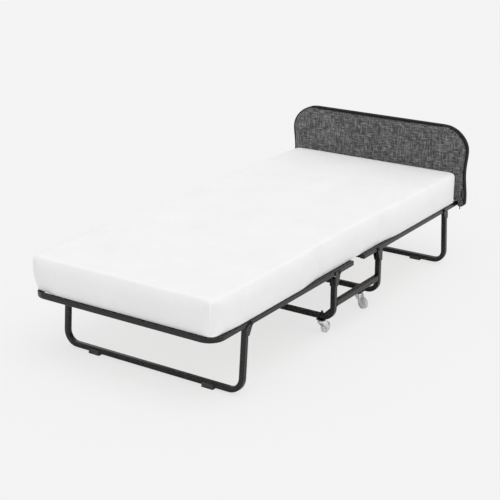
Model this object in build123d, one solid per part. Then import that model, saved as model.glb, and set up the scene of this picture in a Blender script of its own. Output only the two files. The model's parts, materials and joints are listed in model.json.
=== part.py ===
from build123d import *
import math
import os

# Folding guest bed: two half frames hinged on a castor base, folding end legs, a slatted deck,
# a three-part mattress and a padded headboard.
# Millimetres. +X runs from the foot to the head, +Z is up, and the origin is on the floor at the fold.

# Frame
frame_length = 2100.0
frame_width = 880.0
rail_bottom = 274.5
tube = 21.0
tube_wall = 1.5
tube_corner = 3.5
rail_bend = 55.0
fold_gap = 92.0
cap_thickness = 3.0
cap_insert = 15.0
cap_play = 0.2
cap_round = 1.5

# Hinges
side_play = 0.5
swing_gap = 0.8
plate_thickness = 3.0
plate_reach = 36.0
plate_rise = 8.0
eye_radius = 9.5
bolt_radius = 4.0
bolt_head_radius = 7.5
bolt_head_height = 4.5
bolt_head_round = 2.7
nut_radius = 7.0
nut_height = 6.0
running_clearance = 0.05

# Base
loop_spacing = 380.0
loop_bend = 46.0
loop_top_gap = 12.0
bar_clearance = 2.0
base_bar_height = 26.0
gusset_past_bend = 1.0
gusset_thickness = 4.0

# End legs
leg_setback = 234.0
leg_splay = 5.25
leg_bend = 55.0
leg_top_gap = 0.4
pad_height = 6.0
pad_wall = 3.0
pad_length = 55.0
pad_inset = 160.0
pad_wrap = 14.0

# Castors
castor_past_bend = 8.0
head_castor_shift = 25.0
castor_tube_length = 40.0
wheel_diameter = 50.0
wheel_width = 20.0
wheel_recess = 3.0
wheel_hub_radius = 9.0
wheel_rim = 6.0
wheel_tread_round = 4.2
wheel_clearance = 4.7
castor_trail = 30.0
axle_radius = 3.0
axle_head = 1.5
fork_play = 1.0
fork_sheet = 2.5
fork_hub_radius = 16.0
fork_hub_height = 9.0
fork_root_width = 27.2
fork_eye_radius = 7.5
castor_plate_length = 40.0
castor_plate_width = 36.0
castor_plate_thickness = 3.0
collar_radius = 13.0
collar_height = 5.0
collar_gap = 0.3
kingpin_radius = 5.0
kingpin_length = 8.0
stud_stub = 12.0
foot_castor_heading = 0.0
head_castor_heading = 250.0

# Deck
slats_per_half = 6
slat_width = 53.0
slat_thickness = 8.0
slat_crown = 8.0
deck_gap = 0.5
slat_base_gap = 45.0
slat_past_leg = 0.5
holder_wall = 3.4
holder_depth = 26.0
holder_pocket = 20.0
holder_play = 0.2
holder_round = 2.0

# Mattress
mattress_margin = 10.0
mattress_thickness = 146.0
mattress_shift = 15.0
mattress_corner = 45.0
mattress_edge = 24.0
mattress_foot_inset = 8.0
mattress_fold = 368.0
soft_gap = 0.3

# Headboard
headboard_setback = 100.0
headboard_rise = 359.5
headboard_tube = 25.0
headboard_bend = 100.0
cover_wall = 3.0
cover_play = 0.5
core_thickness = 19.0
headboard_foot_rise = 5.0
headboard_bolt_radius = 3.5
zip_pull_width = 5.0
zip_pull_thickness = 1.5
zip_pull_length = 20.0
zip_pull_round = 2.0

# Places that follow from those sizes
half_length = frame_length / 2
rail_y = (frame_width - tube) / 2
rail_z = rail_bottom + tube / 2
rail_top = rail_bottom + tube
rail_inner = frame_width / 2 - tube
rail_end = fold_gap / 2 + cap_thickness
loop_tube = tube + 2 * side_play
loop_x = loop_spacing / 2
loop_top = rail_bottom - loop_top_gap
castor_height = wheel_diameter + wheel_clearance + fork_hub_height + collar_gap + collar_height
loop_bottom = castor_height + castor_plate_thickness
loop_bar_top = loop_bottom + loop_tube
gusset_size = loop_bend - loop_tube / 2 + gusset_past_bend
pivot_offset = tube / 2 + swing_gap + loop_tube / 2
pivot_x = loop_x - pivot_offset
rail_end_swing = math.hypot(pivot_x - fold_gap / 2, tube / 2)
base_bar_bottom = rail_z - rail_end_swing - bar_clearance - base_bar_height
leg_pivot_x = half_length - leg_setback
pad_y = frame_width / 2 - pad_inset
plate_inner = rail_y - loop_tube / 2
plate_outer = rail_y + loop_tube / 2
foot_castor_y = rail_y - loop_bend - castor_past_bend
head_castor_y = foot_castor_y - head_castor_shift
castor_tube_x = loop_x - loop_tube
mattress_width = frame_width - mattress_margin
headboard_foot = rail_bottom + headboard_foot_rise
headboard_top = rail_top + headboard_rise
headboard_x = half_length - headboard_setback + headboard_tube / 2
headboard_y = (frame_width + headboard_tube) / 2
cover_front = headboard_x - headboard_tube / 2 - cover_play - cover_wall
cover_thickness = headboard_tube + 2 * (cover_play + cover_wall)
cover_half_width = headboard_y + headboard_tube / 2 + cover_play + cover_wall


def place_y(sketch, low, high):
    """A sketch drawn in x and z, as a solid from y = low to y = high."""
    return Pos(0, low, 0) * extrude(Plane.XZ * sketch, amount=high - low, dir=(0, 1, 0))


def place_x(sketch, low, high):
    """A sketch drawn in y and z, as a solid from x = low to x = high."""
    return Pos(low, 0, 0) * extrude(Plane.YZ * sketch, amount=high - low, dir=(1, 0, 0))


def round_bar_y(x, z, radius, low, high):
    """A round bar along Y."""
    return place_y(Pos(x, z) * Circle(radius), low, high)


def tube_section(width, depth=None):
    """The rounded section of a tube, square unless its depth is given, with its bore."""
    depth = depth or width
    bore = Rectangle(width - 2 * tube_wall, depth - 2 * tube_wall)
    return RectangleRounded(width, depth, tube_corner) - bore


def bent(points, bend, section, across):
    """A section carried along straight runs with rounded corners."""
    path = FilletPolyline(*points, radius=bend)
    start = Plane(path @ 0, x_dir=across, z_dir=path % 0)
    return sweep(start * section, path=path)


def straight(start, end, section, across):
    """A section carried along one straight run."""
    path = Line(start, end)
    return sweep(Plane(start, x_dir=across, z_dir=path % 0) * section, path=path)


def both_sides(shape):
    """A right-hand shape and its mirror image on the left."""
    return [shape, mirror(shape, about=Plane.XZ)]


def at_head(shape):
    """The head half's mirror image of a shape made for the foot half."""
    return mirror(shape, about=Plane.YZ)


def group(solids):
    """Separate solids kept together in one node."""
    return Compound(children=[solid for shape in solids for solid in shape.solids()])


def pivot_bolt(x, z, inside):
    """A right-hand pivot bolt: domed head on the outer plate, nut at y = -inside."""
    outside = plate_outer + plate_thickness
    shank = round_bar_y(x, z, bolt_radius, -outside, -inside)
    head = round_bar_y(x, z, bolt_head_radius, -outside - bolt_head_height, -outside)
    head = fillet(head.edges().filter_by(GeomType.CIRCLE).sort_by(Axis.Y)[0], bolt_head_round)
    nut = place_y(Pos(x, z) * RegularPolygon(nut_radius, 6), -inside, -inside + nut_height)
    return shank + head + nut


def hinge_plate(outline, x, z, low):
    """A right-hand plate from y = low inwards, with its pivot hole."""
    hole = round_bar_y(x, z, bolt_radius, low, low + plate_thickness)
    return place_y(outline, low, low + plate_thickness) - hole


# Half frames, drawn for the foot half and mirrored for the head half

def half_rail():
    """The U-shaped rail of the foot half, with its pivot holes."""
    end = -half_length + tube / 2
    route = [(-rail_end, -rail_y), (end, -rail_y), (end, rail_y), (-rail_end, rail_y)]
    points = [(x, y, rail_z) for x, y in route]
    rail = bent(points, rail_bend, tube_section(tube), (0, 0, 1))
    for x in (-pivot_x, -leg_pivot_x):
        rail -= round_bar_y(x, rail_z, bolt_radius + running_clearance, -frame_width, frame_width)
    return rail


def end_bar():
    """The cross tube at the fold end."""
    x = -rail_end - tube / 2
    return straight((x, -rail_inner, rail_z), (x, rail_inner, rail_z), tube_section(tube), (0, 0, 1))


def rail_caps():
    """The plugs in the rail's two open ends."""
    insert = tube - 2 * tube_wall - 2 * cap_play
    plug = Pos(-rail_end - cap_insert / 2, -rail_y, rail_z) * Box(cap_insert, insert, insert)
    face = Pos(-rail_y, rail_z) * RectangleRounded(tube, tube, tube_corner)
    head = place_x(face, -rail_end, -rail_end + cap_thickness)
    head = fillet(head.faces().sort_by(Axis.X)[-1].edges(), cap_round)
    return group(both_sides(plug + head))


slat_first = -leg_pivot_x
slat_last = -loop_x - loop_tube / 2 - slat_base_gap
slat_pitch = (slat_last - slat_first) / (slats_per_half - 1 - slat_past_leg)
slat_places = [slat_first + slat_pitch * (index - slat_past_leg) for index in range(slats_per_half)]
slat_end = rail_inner - holder_depth + holder_pocket
slat_rise = math.degrees(math.atan(4 * slat_crown / (2 * slat_end)))
slat_z = rail_top - deck_gap - slat_crown - slat_thickness / 2


def slat(x):
    """A sprung slat, bowed upwards between its holders."""
    faces = []
    for z in (slat_z + slat_thickness / 2, slat_z - slat_thickness / 2):
        faces.append(ThreePointArc((-slat_end, z), (0, z + slat_crown), (slat_end, z)))
    top, low = faces
    sides = [Line(top @ 0, low @ 0), Line(top @ 1, low @ 1)]
    return place_x(make_face([top, low, *sides]), x - slat_width / 2, x + slat_width / 2)


def slat_holders():
    """The moulded pockets on the rails' inner faces, one at each slat end."""
    drop = holder_pocket * math.tan(math.radians(slat_rise))
    pocket_height = slat_thickness + 2 * drop + 2 * holder_play
    pocket_width = slat_width + 2 * holder_play
    holders = []
    for x in slat_places:
        body = Box(pocket_width + 2 * holder_wall, holder_depth, pocket_height + 2 * holder_wall)
        body = fillet(body.edges().filter_by(Axis.Y), holder_round)
        pocket = Pos(0, holder_depth - holder_pocket, 0) * Box(pocket_width, holder_depth, pocket_height)
        holders += both_sides(Pos(x, -rail_inner + holder_depth / 2, slat_z) * (body - pocket))
    return group(holders)


# Mattress

def mattress_parts():
    """The foot, fold and head lengths of the mattress."""
    low = -half_length + mattress_foot_inset
    high = cover_front - soft_gap
    bottom = rail_top + soft_gap
    size = Box(high - low, mattress_width, mattress_thickness)
    block = Pos((low + high) / 2, mattress_shift, bottom + mattress_thickness / 2) * size
    block = fillet(block.edges().filter_by(Axis.Z), mattress_corner)
    block = fillet(block.faces().sort_by(Axis.Z)[-1].edges(), mattress_edge)
    fold = mattress_fold / 2
    cuts = [(low, -fold - soft_gap), (-fold, fold), (fold + soft_gap, high)]
    lengths = []
    for start, end in cuts:
        slice_box = Box(end - start, 2 * mattress_width, 4 * mattress_thickness)
        lengths.append(block & Pos((start + end) / 2, mattress_shift, rail_z) * slice_box)
    return lengths


# End legs, drawn upright about their pivot and then splayed

def splayed(shape):
    """Turns an upright leg shape by the splay and sets it on the foot half's leg pivot."""
    return Pos(-leg_pivot_x, 0, rail_z) * Rot(0, leg_splay, 0) * shape


leg_x = -tube / 2 - swing_gap - loop_tube / 2
splay_sin = math.sin(math.radians(leg_splay))
splay_cos = math.cos(math.radians(leg_splay))
leg_drop = rail_z - pad_height - leg_x * splay_sin
leg_reach = (leg_drop - loop_tube / 2 * (splay_sin + splay_cos)) / splay_cos


def leg_loop():
    """The U-shaped leg, cut level under the rail."""
    route = [(-rail_y, 0), (-rail_y, -leg_reach), (rail_y, -leg_reach), (rail_y, 0)]
    points = [(leg_x, y, z) for y, z in route]
    loop = splayed(bent(points, leg_bend, tube_section(loop_tube), (1, 0, 0)))
    above = Box(8 * tube, 2 * frame_width, 2 * tube)
    return loop - Pos(-leg_pivot_x, 0, rail_bottom - leg_top_gap + tube) * above


def leg_plate_outline():
    """A flared plate from the leg to the pivot's eye."""
    low = -tube / 2 - plate_reach
    high = -tube / 2 - leg_top_gap - loop_tube * splay_sin
    strip = Pos(leg_x, (low + high) / 2) * Rectangle(loop_tube, high - low)
    return make_hull(strip.edges() + Circle(eye_radius).edges())


def leg_plates():
    """The hinge plates on the leg's outer faces."""
    plate = hinge_plate(leg_plate_outline(), 0, 0, -plate_outer - plate_thickness)
    return group(both_sides(splayed(plate)))


def leg_bolts():
    """The leg's two pivot bolts, with their nuts inside the rails."""
    return group(both_sides(splayed(pivot_bolt(0, 0, rail_inner - side_play))))


def leg_pads():
    """Moulded glides that clip round the leg's floor bar, with flat soles."""
    side = loop_tube + 2 * pad_wall
    bar = Box(loop_tube, 2 * pad_length, loop_tube)
    bar = fillet(bar.edges().filter_by(Axis.Y), tube_corner)
    height = pad_wrap + 4 * pad_height
    shell = Pos(0, 0, -loop_tube / 2 + pad_wrap - height / 2) * Box(side, pad_length, height)
    shell = fillet(shell.edges().filter_by(Axis.Z), pad_wall)
    pad = splayed(Pos(leg_x, -pad_y, -leg_reach) * (shell - bar))
    floor = Box(frame_width, frame_width, frame_width)
    pad -= Pos(-leg_pivot_x, -pad_y, -frame_width / 2) * floor
    return group(both_sides(pad))


# Base

def base_loop_solid(x, section):
    """A base loop's U at x, in the given section."""
    bar_z = loop_bottom + loop_tube / 2
    points = [(x, -rail_y, loop_top), (x, -rail_y, bar_z), (x, rail_y, bar_z), (x, rail_y, loop_top)]
    return bent(points, loop_bend, section, (1, 0, 0))


def castor_hole(x, y):
    """The hole for a right-hand castor's stud."""
    hole = Cylinder(bolt_radius + running_clearance, 2 * loop_tube)
    return Pos(x, -y, loop_bottom + loop_tube / 2) * hole


def base_bar():
    """The right-hand long bar between the two loops."""
    reach = loop_x - loop_tube / 2
    z = base_bar_bottom + base_bar_height / 2
    section = tube_section(base_bar_height, loop_tube)
    return straight((-reach, -rail_y, z), (reach, -rail_y, z), section, (0, 0, 1))


def castor_tube():
    """The short tubes that lie against the head loop and carry its castors."""
    z = loop_bottom + loop_tube / 2
    half = castor_tube_length / 2
    ends = [(castor_tube_x, -head_castor_y + reach, z) for reach in (-half, half)]
    bar = straight(*ends, tube_section(loop_tube), (0, 0, 1))
    return group(both_sides(bar - castor_hole(castor_tube_x, head_castor_y)))


def corner_gussets():
    """Flat gussets in the foot loop's two lower corners."""
    corner = rail_y
    outline = Polygon(
        (-corner, loop_bottom),
        (-corner + loop_tube / 2 + gusset_size, loop_bar_top),
        (-corner + loop_tube / 2, loop_bar_top + gusset_size),
        align=None,
    )
    filled = RectangleRounded(loop_tube, loop_tube, tube_corner)
    half = gusset_thickness / 2
    plate = place_x(outline, -loop_x - half, -loop_x + half) - base_loop_solid(-loop_x, filled)
    return group(both_sides(max(plate.solids(), key=lambda solid: solid.volume)))


def base_plate_outline():
    """A wide plate from the loop's upright to the half frame's pivot eye, for the foot loop."""
    low = loop_top - plate_reach
    high = rail_z + plate_rise
    strip = Pos(-loop_x, (low + high) / 2) * RectangleRounded(loop_tube, high - low, tube_corner)
    eye = Pos(-pivot_x, rail_z) * Circle(eye_radius)
    return make_hull(strip.edges() + eye.edges())


def base_plates():
    """The plates on the outer and inner faces of the foot loop's uprights."""
    outline = base_plate_outline()
    plates = []
    for low in (-plate_outer - plate_thickness, -plate_inner):
        plates += both_sides(hinge_plate(outline, -pivot_x, rail_z, low))
    return group(plates)


# Castors, drawn about the swivel axis with the wheel trailing along +X

fork_top = loop_bottom - castor_plate_thickness - collar_height - collar_gap
wheel_radius = wheel_diameter / 2
fork_inner = wheel_width / 2 + fork_play
fork_outer = fork_inner + fork_sheet


def castor_mount():
    """Plate, collar, king pin, and the stud with its nut above the tube."""
    plate_z = loop_bottom - castor_plate_thickness
    plate = RectangleRounded(castor_plate_length, castor_plate_width, tube_corner)
    plate = extrude(plate, castor_plate_thickness)
    collar = extrude(Circle(collar_radius), -collar_height)
    pin = extrude(Circle(kingpin_radius), -collar_height - kingpin_length)
    stud = extrude(Circle(bolt_radius), castor_plate_thickness + loop_tube + stud_stub)
    nut = extrude(RegularPolygon(nut_radius, 6), nut_height)
    nut = Pos(0, 0, castor_plate_thickness + loop_tube) * nut
    return Pos(0, 0, plate_z) * (plate + collar + pin + stud + nut)


def castor_fork():
    """A pressed fork: hub round the king pin and two tapering cheeks."""
    low = fork_top - fork_hub_height
    hub = Pos(0, 0, low) * extrude(Circle(fork_hub_radius), fork_hub_height)
    root = Pos(0, low + fork_hub_height / 2) * Rectangle(fork_root_width, fork_hub_height)
    eye = Pos(castor_trail, wheel_radius) * Circle(fork_eye_radius)
    cheek = make_hull(root.edges() + eye.edges())
    fork = hub + place_y(cheek, fork_inner, fork_outer) + place_y(cheek, -fork_outer, -fork_inner)
    bore = extrude(Circle(kingpin_radius + running_clearance), -kingpin_length - collar_gap)
    hole = round_bar_y(castor_trail, wheel_radius, axle_radius, -2 * fork_outer, 2 * fork_outer)
    return fork - Pos(0, 0, fork_top) * bore - hole


def castor_axle():
    """The wheel's axle, riveted over both cheeks."""
    head = axle_radius + axle_head
    axle = round_bar_y(castor_trail, wheel_radius, axle_radius, -fork_outer, fork_outer)
    axle += round_bar_y(castor_trail, wheel_radius, head, fork_outer, fork_outer + axle_head)
    axle += round_bar_y(castor_trail, wheel_radius, head, -fork_outer - axle_head, -fork_outer)
    return axle


def castor_wheel():
    """A moulded wheel with a rounded tread, dished sides and a bore for the axle."""
    half = wheel_width / 2
    bore = axle_radius + running_clearance
    blank = Pos((bore + wheel_radius) / 2, 0) * Rectangle(wheel_radius - bore, wheel_width)
    blank = fillet(blank.vertices().sort_by(Axis.X)[-2:], wheel_tread_round)
    dish_low = wheel_hub_radius
    dish_high = wheel_radius - wheel_rim
    dish = Rectangle(dish_high - dish_low, 2 * wheel_recess)
    for side in (-half, half):
        blank -= Pos((dish_low + dish_high) / 2, side) * dish
    wheel = revolve(blank, Axis.Y)
    return Pos(castor_trail, 0, wheel_radius) * wheel


# Headboard

def headboard_loop():
    """The inverted U that stands on the head half's rails, with its bolt holes."""
    top = headboard_top - cover_wall - cover_play - headboard_tube / 2
    low = headboard_foot + cover_play
    points = [
        (headboard_x, -headboard_y, low),
        (headboard_x, -headboard_y, top),
        (headboard_x, headboard_y, top),
        (headboard_x, headboard_y, low),
    ]
    loop = bent(points, headboard_bend, tube_section(headboard_tube), (1, 0, 0))
    return loop - headboard_bolt_hole()


def headboard_bolt_hole():
    """The bolt hole through the headboard's loop and the rail."""
    radius = headboard_bolt_radius + running_clearance
    return round_bar_y(headboard_x, rail_z, radius, -frame_width, frame_width)


def headboard_bolts():
    """The two bolts that hold the headboard's loop to the rails."""
    inside = -rail_inner + nut_height
    shank = round_bar_y(headboard_x, rail_z, headboard_bolt_radius, -frame_width / 2 - headboard_tube, inside)
    nut = Pos(headboard_x, rail_z) * RegularPolygon(nut_radius, 6)
    return group(both_sides(shank + place_y(nut, -rail_inner, inside)))


def arch(half_width, low, high, bend):
    """An upright panel outline with two rounded upper corners."""
    panel = Pos(0, (low + high) / 2) * Rectangle(2 * half_width, high - low)
    return fillet(panel.vertices().sort_by(Axis.Y)[-2:], bend)


cover_bottom = headboard_foot - cover_wall
cover_floor = rail_top + cover_wall + cover_play


def headboard_core():
    """The stiff panel inside the loop."""
    half_width = headboard_y - headboard_tube / 2 - cover_play
    low = cover_floor + cover_wall + cover_play
    high = headboard_top - cover_wall - 2 * cover_play - headboard_tube
    outline = arch(half_width, low, high, headboard_bend - headboard_tube / 2 - cover_play)
    return place_x(outline, headboard_x - core_thickness / 2, headboard_x + core_thickness / 2)


def headboard_cover():
    """A fabric sleeve over the loop, with a short leg down the outside of each rail."""
    gap = 2 * (frame_width / 2 + soft_gap)
    bend = headboard_bend + headboard_tube / 2 + cover_play + cover_wall
    outside = arch(cover_half_width, cover_bottom, headboard_top, bend)
    outside -= Pos(0, cover_bottom) * Rectangle(gap, 2 * (cover_floor - cover_bottom))
    high = headboard_top - cover_wall
    inside = arch(cover_half_width - cover_wall, headboard_foot, high, bend - cover_wall)
    notch = Rectangle(gap - 2 * headboard_tube, 2 * (cover_floor + cover_wall - headboard_foot))
    inside -= Pos(0, headboard_foot) * notch
    strip = Rectangle(2 * headboard_y - headboard_tube - 2 * cover_play, cover_wall)
    closed = Pos(0, cover_floor + cover_wall / 2) * strip
    shell = place_x(outside, cover_front, cover_front + cover_thickness)
    cavity_front = cover_front + cover_wall
    cavity = place_x(inside - closed, cavity_front, cavity_front + cover_thickness - 2 * cover_wall)
    return shell - cavity


def zip_pull():
    """The zip's tail below the sleeve's right-hand corner."""
    y = -headboard_y
    pull = Box(zip_pull_thickness, zip_pull_width, zip_pull_length)
    pull = fillet(pull.edges().filter_by(Axis.X), zip_pull_round)
    return Pos(headboard_x, y, cover_bottom - zip_pull_length / 2) * pull


# The nodes

def save(name, shape):
    """Writes one node."""
    export_step(shape, f"parts/{name}.step")


def save_half(half, turn):
    """Writes the frame, deck and leg of one half."""
    rail = turn(half_rail())
    if half == "head":
        rail -= headboard_bolt_hole()
    save(f"{half}_rail", rail)
    save(f"{half}_end_bar", turn(end_bar()))
    save(f"{half}_rail_caps", turn(rail_caps()))
    save(f"{half}_slat_holders", turn(slat_holders()))
    for index, x in enumerate(slat_places):
        save(f"{half}_slat_{index + 1}", turn(slat(x)))
    save(f"{half}_leg_loop", turn(leg_loop()))
    save(f"{half}_leg_plates", turn(leg_plates()))
    save(f"{half}_leg_bolts", turn(leg_bolts()))
    save(f"{half}_leg_pads", turn(leg_pads()))


def save_base_half(half, turn):
    """Writes one base loop with its hinge plates and pivot bolts."""
    loop = base_loop_solid(-loop_x, tube_section(loop_tube))
    if half == "foot":
        loop -= both_sides(castor_hole(-loop_x, foot_castor_y))
    save(f"base_loop_{half}", turn(loop))
    save(f"hinge_plates_{half}", turn(base_plates()))
    inside = plate_inner - plate_thickness
    save(f"pivot_bolts_{half}", turn(group(both_sides(pivot_bolt(-pivot_x, rail_z, inside)))))


def save_castor(name, x, y, heading):
    """Writes one castor at its swivel axis."""
    swivel = Pos(x, y, 0) * Rot(0, 0, heading)
    save(f"castor_fork_{name}", swivel * castor_fork())
    save(f"castor_axle_{name}", swivel * castor_axle())
    save(f"castor_wheel_{name}", swivel * castor_wheel())


os.makedirs("parts", exist_ok=True)
for half_name, side_of_fold in (("foot", lambda shape: shape), ("head", at_head)):
    save_half(half_name, side_of_fold)
    save_base_half(half_name, side_of_fold)
castor_rows = (
    ("foot", -loop_x, foot_castor_y, foot_castor_heading),
    ("head", castor_tube_x, head_castor_y, head_castor_heading),
)
for row, row_x, row_y, row_heading in castor_rows:
    save(f"castor_mounts_{row}", group(both_sides(Pos(row_x, -row_y, 0) * castor_mount())))
    save_castor(f"{row}_right", row_x, -row_y, row_heading)
    save_castor(f"{row}_left", row_x, row_y, row_heading)
save("base_bars", group(both_sides(base_bar())))
save("castor_tube", castor_tube())
save("corner_gussets", corner_gussets())
mattress_names = ("mattress_foot", "mattress_middle", "mattress_head")
for part_name, part_solid in zip(mattress_names, mattress_parts()):
    save(part_name, part_solid)
save("headboard_loop", headboard_loop())
save("headboard_core", headboard_core())
save("headboard_cover", headboard_cover())
save("headboard_bolts", headboard_bolts())
save("headboard_zip_pull", zip_pull())
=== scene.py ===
import json
import math

import bpy
import numpy as np
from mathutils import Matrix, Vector
from mathutils.bvhtree import BVHTree


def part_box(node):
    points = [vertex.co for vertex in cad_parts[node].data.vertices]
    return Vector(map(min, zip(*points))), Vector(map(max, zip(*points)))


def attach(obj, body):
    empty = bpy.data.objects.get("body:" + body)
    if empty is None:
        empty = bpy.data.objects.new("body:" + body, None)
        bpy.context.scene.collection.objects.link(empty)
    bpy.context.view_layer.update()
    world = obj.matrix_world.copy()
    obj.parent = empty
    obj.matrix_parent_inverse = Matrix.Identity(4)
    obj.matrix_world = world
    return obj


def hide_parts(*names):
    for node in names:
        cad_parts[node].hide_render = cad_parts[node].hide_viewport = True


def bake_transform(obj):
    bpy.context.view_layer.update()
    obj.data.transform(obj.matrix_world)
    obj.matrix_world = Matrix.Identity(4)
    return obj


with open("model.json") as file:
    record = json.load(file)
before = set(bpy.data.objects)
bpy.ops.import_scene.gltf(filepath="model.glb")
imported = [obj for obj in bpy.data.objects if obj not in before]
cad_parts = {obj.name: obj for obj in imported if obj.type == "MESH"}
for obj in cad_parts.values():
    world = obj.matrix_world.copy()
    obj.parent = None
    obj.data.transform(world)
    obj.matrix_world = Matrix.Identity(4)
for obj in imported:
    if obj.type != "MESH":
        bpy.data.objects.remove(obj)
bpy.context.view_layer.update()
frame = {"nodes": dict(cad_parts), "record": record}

# Folding guest bed: the finish of its frame, deck and castors, the filled mattress cover and the
# headboard's felt sleeve. Metres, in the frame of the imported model.

# Camera, in a square picture
camera_place = Vector((-4.385, -2.827, 2.090))
camera_azimuth = math.radians(-56.17)
camera_elevation = math.radians(19.50)
camera_lens = 90.83

# Mattress cover
cover_room = 0.002
cover_corner = 0.034
cover_top_edge = 0.019
cover_low_edge = 0.006
cover_cell = 0.017
cover_fine_cells = (0.0, 0.003, 0.006, 0.011, 0.019, 0.031)
cover_pressure = 4.0
cover_slack = -0.004
cover_side_cap = 0.009
cover_top_cap = 0.006
cover_top_hold = 0.5

# How far the cover's left-hand corners draw in all over and at the bottom, and over which height and width
tuck_all = 0.005
tuck_low = 0.009
tuck_height = 0.070
tuck_width = 0.160

# Hollow under the cover by each pivot, which keeps it off the nearest slat as the halves fold
hollow_depth = 0.020
hollow_places = (0.10, 0.16, 0.27, 0.32)
hollow_margin = (0.025, 0.070)

# How far the cover's right-hand side hangs over the rail, from the foot to the head
bow_places = (-1.04, -0.87, -0.47, -0.30, 0.20, 0.37, 0.95)
bow_depths = (0.010, 0.020, 0.020, 0.008, 0.008, 0.020, 0.020)
bow_far_share = 0.3

# Corner seams of the mattress cover
seam_half_width = 0.0030
seam_height = 0.0020
seam_step = 0.006
seam_foot_clear = 0.016

# Cloth that fills the covers
cloth_steps = 20
cloth_settings = {
    "quality": 6,
    "mass": 0.3,
    "tension_stiffness": 20,
    "compression_stiffness": 20,
    "shear_stiffness": 8,
    "bending_stiffness": 0.6,
    "use_pressure": True,
    "pin_stiffness": 1.0,
}

# Headboard sleeve
sleeve_corner = 0.116
sleeve_leg_corner = 0.010
sleeve_leg_width = 0.028
sleeve_cell = 0.014
sleeve_room = 0.0018
sleeve_rail_clear = 0.0035
sleeve_pressure = 4.0
sleeve_cap = 0.007
sleeve_wave_mean = 0.0035
sleeve_wave = 0.0045
sleeve_wave_height = 0.557
sleeve_wave_length = 0.248
band_thickness = 0.0012
band_step = 0.010
piping_radius = 0.0017
piping_sides = 8
stitch_pitch = 0.0065
stitch_length = 0.0042
stitch_radius = 0.00045
stitch_inset = 0.006

# Weld beads
bead_radius = 0.0019
bead_corner = 0.0035
bead_ripple = 0.16
bead_pitch = 0.0042
bead_step = 0.0014
bead_sides = 6

# Slats
slat_thickness = 0.008
slat_plies = 5

# Room
floor_half = 40.0
floor_colour = (0.900, 0.900, 0.900, 1.0)
backdrop_colour = (0.880, 0.880, 0.880, 1.0)
backdrop_share = 0.80
mirror_share = 0.20
sky_strength = 0.72
sun_strength = 1.25
sun_spread = math.radians(50)
sun_turn = (math.radians(18.4), math.radians(-7.3), 0.0)

scene = bpy.context.scene


# Meshes

def new_piece(name, points, faces, smooth=True):
    """A mesh object with the given points and faces."""
    mesh = bpy.data.meshes.new(name)
    mesh.from_pydata([tuple(map(float, point)) for point in points], [], faces)
    mesh.validate()
    mesh.update()
    for polygon in mesh.polygons:
        polygon.use_smooth = smooth
    piece = bpy.data.objects.new(name, mesh)
    scene.collection.objects.link(piece)
    return piece


def read_points(mesh):
    """A mesh's points as an array."""
    points = np.zeros(len(mesh.vertices) * 3)
    mesh.vertices.foreach_get("co", points)
    return points.reshape(-1, 3)


def write_points(mesh, points):
    """Moves a mesh's points."""
    mesh.vertices.foreach_set("co", points.astype(np.float32).ravel())
    mesh.update()


def smooth_step(values):
    """Values from 0 to 1, eased at both ends."""
    values = np.clip(values, 0, 1)
    return values ** 2 * (3 - 2 * values)


def graded(low, high, cell, fine_low=(0.0,), fine_high=(0.0,)):
    """Lines from low to high, finer towards the ends, and about a cell apart between."""
    start = low + fine_low[-1]
    end = high - fine_high[-1]
    count = max(1, round((end - start) / cell))
    middle = np.linspace(start, end, count + 1)
    first = [low + offset for offset in fine_low[:-1]]
    last = [high - offset for offset in reversed(fine_high[:-1])]
    return np.array([*first, *middle, *last])


def slab(a_lines, b_lines, c_lines, kept):
    """Points and quads of a block in three sets of lines, with only the columns that kept(i, j) keeps."""
    index = {}
    faces = []
    columns = len(a_lines) - 1
    rows = len(b_lines) - 1
    top = len(c_lines) - 1

    def corner(i, j, k):
        return index.setdefault((i, j, k), len(index))

    def open_to(i, j):
        return not (0 <= i < columns and 0 <= j < rows and kept(i, j))

    for i in range(columns):
        for j in range(rows):
            if not kept(i, j):
                continue
            ring = [(i, j), (i + 1, j), (i + 1, j + 1), (i, j + 1)]
            faces.append([corner(*place, top) for place in ring])
            faces.append([corner(*place, 0) for place in reversed(ring)])
            beside = [(i, j - 1), (i + 1, j), (i, j + 1), (i - 1, j)]
            for side, neighbour in enumerate(beside):
                if not open_to(*neighbour):
                    continue
                first, second = ring[side], ring[(side + 1) % 4]
                for k in range(top):
                    low = [corner(*first, k), corner(*second, k)]
                    high = [corner(*second, k + 1), corner(*first, k + 1)]
                    faces.append(low + high)
    points = np.array([(a_lines[i], b_lines[j], c_lines[k]) for i, j, k in index])
    return points, faces


def onto_arc(reach):
    """Turns square corners into round ones: offsets on a square's sides move onto its circle."""
    longest = np.abs(reach).max(axis=1)
    length = np.linalg.norm(reach, axis=1)
    scale = np.divide(longest, length, out=np.ones_like(length), where=length > 0)
    return reach * scale[:, None]


def round_outline(places, low, high, corner):
    """Rounds the corners of a flat outline. The corner radius may differ from point to point."""
    centre = (low + high) / 2
    room = (high - low) / 2 - np.asarray(corner).reshape(-1, 1)
    offset = places - centre
    inner = np.clip(offset, -room, room)
    return centre + inner + onto_arc(offset - inner)


def outline_depth(places, low, high, corner):
    """Each place's depth inside a rounded rectangle, and the direction out of it."""
    centre = (low + high) / 2
    offset = places - centre
    past = np.abs(offset) - ((high - low) / 2 - corner)
    outer = np.maximum(past, 0)
    length = np.linalg.norm(outer, axis=1)
    depth = corner - length - np.minimum(past.max(axis=1), 0)
    nearest = (past == past.max(axis=1)[:, None]).astype(float)
    direction = np.where((length > 0)[:, None], outer, nearest) * np.sign(offset)
    size = np.linalg.norm(direction, axis=1)
    return depth, direction / np.maximum(size, 1e-9)[:, None]


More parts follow.
